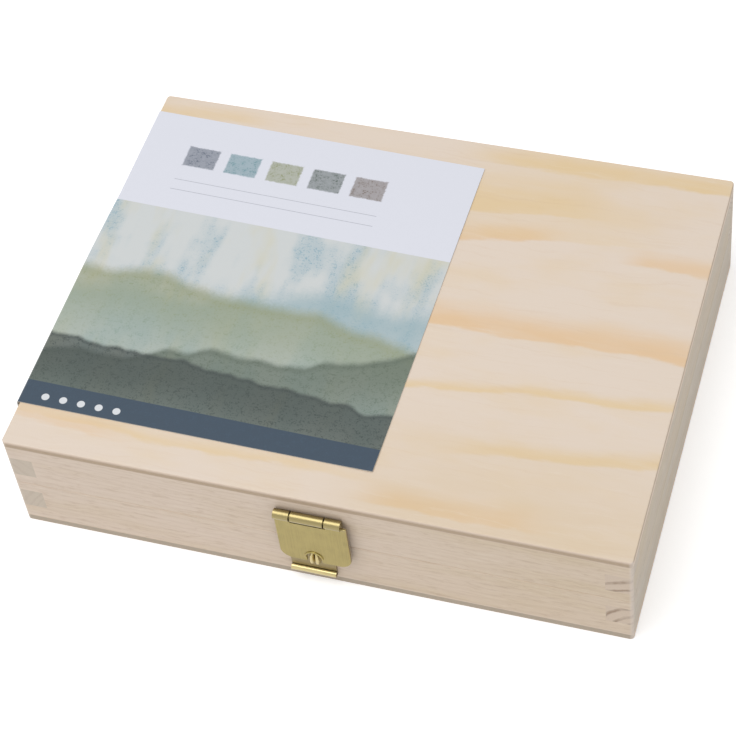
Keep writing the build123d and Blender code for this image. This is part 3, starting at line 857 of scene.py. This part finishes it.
tray_front = [(tray_low.x, tray_low.y), (tray_high.x, tray_low.y)]
tray_back = [(tray_high.x, tray_high.y), (tray_low.x, tray_high.y)]
block = rounded(tray_front + tray_back, tray_corner)
pockets = []
for middle in tube_middle.values():
    right_side = [(middle + half, y) for half, y in pocket_half]
    left_side = [(middle - half, y) for half, y in reversed(pocket_half)]
    pockets.append(rounded(right_side + left_side, pocket_corner)[::-1])
tray_block = cut_sheet("tray_foam", [block, *pockets], floor_top, tray_high.z, tray_ease)
tray_sheet = cut_sheet("tray_floor_foam", [block], tray_low.z, floor_top - floor_gap, floor_ease)

foam = Finish("closed_cell_foam", roughness=0.92)
cells = foam.add("ShaderNodeTexVoronoi", feature="F1")
foam.feed(cells.inputs["Vector"], foam.place)
foam.feed(cells.inputs["Scale"], cells_per_mm)
cell = Field(foam, cells.outputs["Distance"])
pore = foam.rise(cell, 0.32, 0.08)
skin = foam.noise(foam.place, 0.35, 3.0)
cut_lines = foam.drawn(foam.x * 2.2, foam.y * 2.2, foam.z * 0.15)
foam_colour = foam.mix(foam.rise(skin, 0.3, 0.7), tone(56, 57, 59), tone(68, 69, 71))
foam_colour = foam.mix(pore * 0.5, foam_colour, tone(30, 31, 32))
foam.put("Base Color", foam_colour)
foam.bump(cell * 0.6 + cut_lines * 0.5, 0.12, 0.5)
foam.put("Sheen Weight", 0.15)
for piece in (tray_block, tray_sheet):
    piece.data.materials.append(foam.material)
    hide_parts("tube_tray")
    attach(piece, "base")


# Tubes: each is a foil tube of lacquered aluminium, turned round at its shoulder, pressed flat towards
# its end and closed there by a folded crimp. It is filled with paint and has a threaded neck.
plain_station = (1, 1, 0, 0)


def station_line(name, stations):
    """A chain of points that carries each station's place along, radius, widening, flattening, share of
    the dents, and share of the ribs or -1 for a thread. A short row ends like plain_station."""
    stations = [(*station, *plain_station[len(station) - 2 :]) for station in stations]
    line = bpy.data.meshes.new(name)
    line.from_pydata([(0, station[0] / 1000, 0) for station in stations], [], [])
    for column, label in enumerate(("along", "radius", "wide", "high", "dented", "ribbed")):
        attribute = line.attributes.new(label, "FLOAT", "POINT")
        attribute.data.foreach_set("value", [station[column] for station in stations])
    return line


turned_inputs = ["middle_x", "middle_z", "dent_depth", "dent_scale", "rib_count", "rib_depth"]
turned_inputs += ["thread_depth", "thread_pitch", "seed"]
turned = Growth("turned_form", turned_inputs, ["around"])
given = turned.given

# a flat grid to wrap: a column of points for each angle, and in it a point for each station
seed_points = given["Geometry"]
rows = turned.chain("AttributeDomainSize", seed_points, {"component": "MESH"})
wrap = turned.chain("MeshGrid", None, Vertices_X=given["around"] + 1, Vertices_Y=rows)
index = Field(turned, turned.add("GeometryNodeInputIndex").outputs[0])
row = turned.math("MODULO", index, rows)
turn = turned.math("FLOOR", (index + 0.5) / rows) / given["around"]


def at_station(label):
    """That number of the station that a point of the wrapped grid belongs to."""
    number = turned.chain("InputNamedAttribute", None, {"data_type": "FLOAT"}, Name=label)
    kept = {"data_type": "FLOAT", "domain": "POINT"}
    return Field(turned, turned.chain("SampleIndex", seed_points, kept, Value=number, Index=row))


# how far out each point lies, with the dents, the ribs and the thread's groove
along, station_radius = at_station("along"), at_station("radius")
angle = turn * (2 * math.pi)
sine, cosine = turned.math("SINE", angle), turned.math("COSINE", angle)
wave_place = turned.point(sine * station_radius + given["seed"] * 37.0, along, cosine * station_radius)
dent = turned.noise(wave_place, given["dent_scale"], 2.0, 0.45)
dent = turned.rise(dent, 0.42, 0.72) * given["dent_depth"] * at_station("dented")
ribs = turned.math("COSINE", angle * given["rib_count"])
ribs = turned.rise(ribs, 0.1, 0.95) * given["rib_depth"] * at_station("ribbed")
threaded = turned.math("LESS_THAN", at_station("ribbed"), -0.5)
pitch_turns = along / given["thread_pitch"] + turn
groove = turned.rise(turned.math("PINGPONG", pitch_turns, 0.5), 0.05, 0.4)
thread = groove * threaded * given["thread_depth"]
plain_ribs = ribs * (1.0 - threaded)
radius = station_radius + dent - (plain_ribs + thread)

# the wrapped points, and the flat map that the tubes' print lies on
sideways = given["middle_x"] + radius * at_station("wide") * sine
upward = given["middle_z"] + radius * at_station("high") * cosine
place = turned.point(sideways, along, upward)
form = turned.chain("SetPosition", wrap, Position=turned.scaled(place, 0.001))
on_points = {"data_type": "FLOAT_VECTOR", "domain": "POINT"}
unrolled = turned.chain("FieldOnDomain", None, on_points, Value=turned.point(turn, along * 0.001, 0.0))
flat_map = {"data_type": "FLOAT2", "domain": "CORNER"}
form = turned.chain("StoreNamedAttribute", form, flat_map, Name="wrap", Value=unrolled)
form = turned.chain("MergeByDistance", form, Distance=0.000008)
form = turned.chain("SetShadeSmooth", form)
turned.finish(form)


def swell(value):
    """0 to 1 with a level start and end."""
    value = min(max(value, 0.0), 1.0)
    return value * value * (3 - 2 * value)


tube_axis = 13.3
tube_around = 96
thread_pitch = 2.0
body_radius = 9.0
foil_radius = body_radius - 0.02
crimp_half_wide = 14.14
crimp_half_high = 0.85
fold_half_high = 1.12
shoulder_end = -34.8
straight_steps = 42
taper_start = shoulder_end + straight_steps
taper_long = 40.6
taper_steps = 40
tube_stations = [
    (-37.5, 2.5),
    (-48.15, 2.5),
    (-48.35, 2.62),
    (-48.4, 2.85),
    (-48.4, 3.8),
    (-48.3, 4.1),
    (-48.0, 4.35),
]
tube_stations += [(-47.8 + 0.2 * step, 4.4, 1, 1, 0, -1) for step in range(37)]
tube_stations += [
    (-40.3, 4.4),
    (-39.7, 4.42),
    (-39.4, 4.6),
    (-39.25, 4.9),
    (-36.85, 8.45),
    (-36.6, 8.75),
    (-36.3, 8.95),
    (-35.8, body_radius),
    (-35.2, 8.93, 1, 1, 0.1, 0),
    (shoulder_end, 8.93, 1, 1, 0.1, 0),
]
for step in range(1, straight_steps + 1):
    tube_stations.append((shoulder_end + step, foil_radius, 1, 1, swell((step - 1) / 10), 0))
for step in range(1, taper_steps + 1):
    share = step / taper_steps
    wide = 1 + (crimp_half_wide / body_radius - 1) * share
    high = 1 + (crimp_half_high / body_radius - 1) * share
    place = taper_start + taper_long * share
    tube_stations.append((place, foil_radius, wide, high, 1 - 0.75 * share, 0))
flat_wide = crimp_half_wide / body_radius
flat_high = crimp_half_high / body_radius
fold_high = fold_half_high / body_radius
tube_stations += [
    (48.4, body_radius, flat_wide, flat_high, 0.1, 0),
    (50.7, body_radius, flat_wide, flat_high, 0.1, 0),
    (50.95, body_radius, flat_wide, flat_high, 0, 0),
    (51.0, body_radius, flat_wide, fold_high * 0.9, 0, 0),
    (51.15, body_radius, flat_wide, fold_high, 0, 0),
    (53.6, body_radius, flat_wide, fold_high, 0, 0),
    (53.9, 8.98, flat_wide, fold_high * 0.75, 0, 0),
    (54.0, 8.95, flat_wide, fold_high * 0.3, 0, 0),
    (54.0, 0.0),
]
paint_inks = ((62, 78, 100), (66, 122, 134), (122, 130, 76), (52, 70, 60), (120, 92, 66))
tube_line = station_line("tube_stations", tube_stations)
rule_grey = tone(84, 88, 96)
swatch_band = (-31.0, -13.0)
paint_rings = ((-33.55, -32.55), (38.05, 40.55))
text_rules = ((-8.0, 0.25), (0.0, 0.12), (3.0, 0.12), (6.0, 0.12), (36.4, 0.25))
bare_shoulder = -35.0
bare_crimp = 44.0
press_start = 47.6
press_pitch = 1.1


def tube_foil(name, paint, middle):
    """White lacquer with a swatch band of the paint's colour, and bare metal at both ends."""
    foil = Finish(name, roughness=0.3)
    level = map_place(foil, "wrap")[1]

    def band(place, start, end, soft):
        """1 between two places along the tube, with soft edges."""
        return foil.rise(place, start - soft, start + soft) * foil.rise(place, end + soft, end - soft)

    wobble = (foil.noise(foil.point(foil.x - middle, foil.y, foil.z), 1.1, 3.0) - 0.5) * 0.9
    speck = foil.rise(foil.noise(foil.place, 2.6, 4.0, 0.7), 0.46, 0.6)
    cloud = foil.noise(foil.place, 0.4, 3.0)
    wash = foil.mix(0.3 + speck * 0.45 + cloud * 0.3, tone(226, 226, 222), paint)
    swatch = band(level + wobble, *swatch_band, 0.2)
    lacquer = foil.mix(cloud, tone(228, 228, 224), tone(220, 221, 218))
    body = foil.mix(swatch, lacquer, wash)
    for start, end in paint_rings:
        body = foil.mix(band(level, start, end, 0.05), body, paint)
    for height, width in text_rules:
        rule = foil.rise(abs(level - height), width + 0.06, width)
        body = foil.mix(rule * 0.75, body, rule_grey)
    scratch = foil.drawn(foil.x * 0.6, foil.y * 4.0, foil.z * 0.6, 3.0)
    at_neck = foil.rise(level, bare_shoulder, bare_shoulder - 0.1)
    at_crimp = foil.rise(level, bare_crimp - 0.1, bare_crimp + 0.1)
    bare = foil.math("MAXIMUM", at_neck, at_crimp)
    metal_colour = foil.mix(scratch, tone(196, 197, 199), tone(168, 170, 173))
    foil.put("Base Color", foil.mix(bare, body, metal_colour))
    foil.put("Metallic", bare)
    foil.put("Roughness", 0.26 + scratch * 0.12 + bare * 0.06)
    presses = foil.math("SINE", foil.x * (2 * math.pi / press_pitch))
    pressed = foil.rise(level, press_start, press_start + 0.4) * presses * 0.5
    creases = foil.drawn(foil.x * 0.5, foil.y * 0.25, foil.z * 0.5, 3.0)
    foil.bump(pressed + creases * 0.8 + scratch * 0.1, 0.12, 0.6)
    return foil.material


for number, paint_ink in zip(tube_numbers, paint_inks):
    ink_colour = tone(*paint_ink)
    middle = tube_middle[number]
    tube = turned.grow(
        f"paint_tube_{number}",
        tube_line,
        around=tube_around,
        middle_x=middle,
        middle_z=tube_axis,
        dent_depth=0.38,
        dent_scale=0.085,
        thread_depth=0.35,
        thread_pitch=thread_pitch,
        seed=float(number),
        material=tube_foil(f"tube_foil_{number}", ink_colour, middle),
    )
    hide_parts(f"tube_body_{number}")
    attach(tube, "base")
    paste = Finish(f"paint_{number}", roughness=0.3)
    stir = paste.noise(paste.point(paste.x, paste.y * 0.4, paste.z), 0.9, 3.0, 0.5, 1.2)
    paste.put("Base Color", paste.mix(stir, ink_colour, paste.mix(0.35, ink_colour, tone(20, 24, 26))))
    paste.bump(stir, 0.1, 0.4)
    dress(f"tube_paint_{number}", paste.material)


# Caps and seals: black moulded caps with 24 scallops to grip, a raised rim round the dished end and a
# thread inside, and a white disc of foam plastic under each that seals the tube's mouth.
cap_ribs = 24
cap_stations = [
    (-53.7, 0.0),
    (-53.7, 4.6),
    (-53.75, 4.8),
    (-53.95, 5.0),
    (-54.0, 5.2),
    (-54.0, 6.1),
    (-53.95, 6.35),
    (-53.8, 6.6),
    (-53.5, 6.82),
    (-53.2, 6.95),
    (-53.0, 7.0),
    (-52.9, 7.0, 1, 1, 0, 0.6),
    (-52.7, 7.0, 1, 1, 0, 1),
    (-50.0, 7.0, 1, 1, 0, 1),
    (-46.0, 7.0, 1, 1, 0, 1),
    (-42.0, 7.0, 1, 1, 0, 1),
    (-40.6, 7.0, 1, 1, 0, 1),
    (-40.4, 7.0, 1, 1, 0, 0.6),
    (-40.3, 7.0),
    (-39.75, 7.0),
    (-39.58, 6.92),
    (-39.5, 6.75),
    (-39.5, 4.8),
    (-39.6, 4.6),
    (-39.8, 4.5),
]
cap_stations += [(-40.0 - 0.2 * step, 4.78, 1, 1, 0, -1) for step in range(41)]
cap_stations += [
    (-48.3, 4.5),
    (-49.3, 4.5),
    (-49.3, 0.0),
]
cap_line = station_line("cap_stations", cap_stations)
plastic = Finish("cap_plastic", roughness=0.4)
haze = plastic.noise(plastic.place, 0.5, 3.0)
pits = plastic.noise(plastic.place, 7.0, 2.0)
plastic.put("Base Color", plastic.mix(haze, tone(34, 34, 36), tone(46, 46, 48)))
plastic.put("Roughness", 0.32 + haze * 0.16)
plastic.bump(pits, 0.012, 0.5)
disc = Finish("seal_disc", roughness=0.7)
disc_grain = disc.noise(disc.place, 3.0, 3.0)
disc.put("Base Color", disc.mix(disc_grain, tone(224, 223, 218), tone(206, 204, 198)))
disc.bump(disc_grain, 0.02, 0.4)
for number in tube_numbers:
    cap = turned.grow(
        f"screw_cap_{number}",
        cap_line,
        around=cap_ribs * 8,
        middle_x=tube_middle[number],
        middle_z=tube_axis,
        rib_count=float(cap_ribs),
        rib_depth=0.42,
        thread_depth=0.25,
        thread_pitch=thread_pitch,
        material=plastic.material,
    )
    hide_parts(f"tube_cap_{number}")
    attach(cap, f"cap_{number}")
    dress(f"cap_seal_{number}", disc.material)


# Camera, floor and lights: the photograph's long lens from the right of the front, a plain white
# floor and one broad soft lamp above the left of the front.
camera_place = Vector((0.1830, -0.4400, 0.6083))
camera_aim = Vector((-0.2389, 0.5994, -0.7639)).normalized()
camera_roll = math.radians(-7.278)
camera_lens = 113.17
camera_shift = (-0.0435, -0.0924)

level_right = camera_aim.cross(Vector((0, 0, 1))).normalized()
level_up = level_right.cross(camera_aim).normalized()
right = level_right * math.cos(camera_roll) + level_up * math.sin(camera_roll)
up = right.cross(camera_aim).normalized()
camera_turn = Matrix((right, up, -camera_aim)).transposed().to_4x4()
camera = new_object("camera", bpy.data.cameras.new("camera"))
camera.matrix_world = Matrix.Translation(camera_place) @ camera_turn
camera.data.lens = camera_lens
camera.data.sensor_width = 36.0
camera.data.shift_x, camera.data.shift_y = camera_shift
camera.data.clip_end = 50.0
bpy.context.scene.camera = camera

floor_reach = 6.0
floor_glow = 0.42
floor_sides = ((-1, -1), (1, -1), (1, 1), (-1, 1))
floor_mesh = bpy.data.meshes.new("floor")
floor_mesh.from_pydata([(x * floor_reach, y * floor_reach, 0) for x, y in floor_sides], [], [(0, 1, 2, 3)])
floor = new_object("floor", floor_mesh)
paper = Finish("white_floor", roughness=0.9)
paper.put("Base Color", tone(240, 240, 240))
rays = paper.add("ShaderNodeLightPath")
seen = paper.math("MAXIMUM", rays.outputs["Is Camera Ray"], rays.outputs["Is Glossy Ray"])
paper.put("Emission Color", (1, 1, 1, 1))
paper.put("Emission Strength", seen * floor_glow)
floor_mesh.materials.append(paper.material)

studio_light = 0.5
world = bpy.data.worlds.new("studio")
bpy.context.scene.world = world
world.use_nodes = True
sky = Wiring(world.node_tree)
background = world.node_tree.nodes["Background"]
rays = sky.add("ShaderNodeLightPath")
direct = sky.math("MAXIMUM", rays.outputs["Is Camera Ray"], rays.outputs["Is Glossy Ray"])
direct = sky.math("MAXIMUM", direct, rays.outputs["Is Transmission Ray"])
background.inputs["Color"].default_value = (1, 1, 1, 1)
sky.feed(background.inputs["Strength"], studio_light + direct * (1.0 - studio_light))

lamp_data = bpy.data.lights.new("soft_lamp", "AREA")
lamp_data.shape = "DISK"
lamp_data.size = 1.2
lamp_data.energy = 11.0
lamp_place = Vector((-0.25, -0.4, 1.45))
lamp_turn = lamp_place.to_track_quat("Z", "Y").to_matrix().to_4x4()
lamp = new_object("soft_lamp", lamp_data)
lamp.matrix_world = Matrix.Translation(lamp_place) @ lamp_turn

bpy.context.scene.view_settings.view_transform = "Standard"
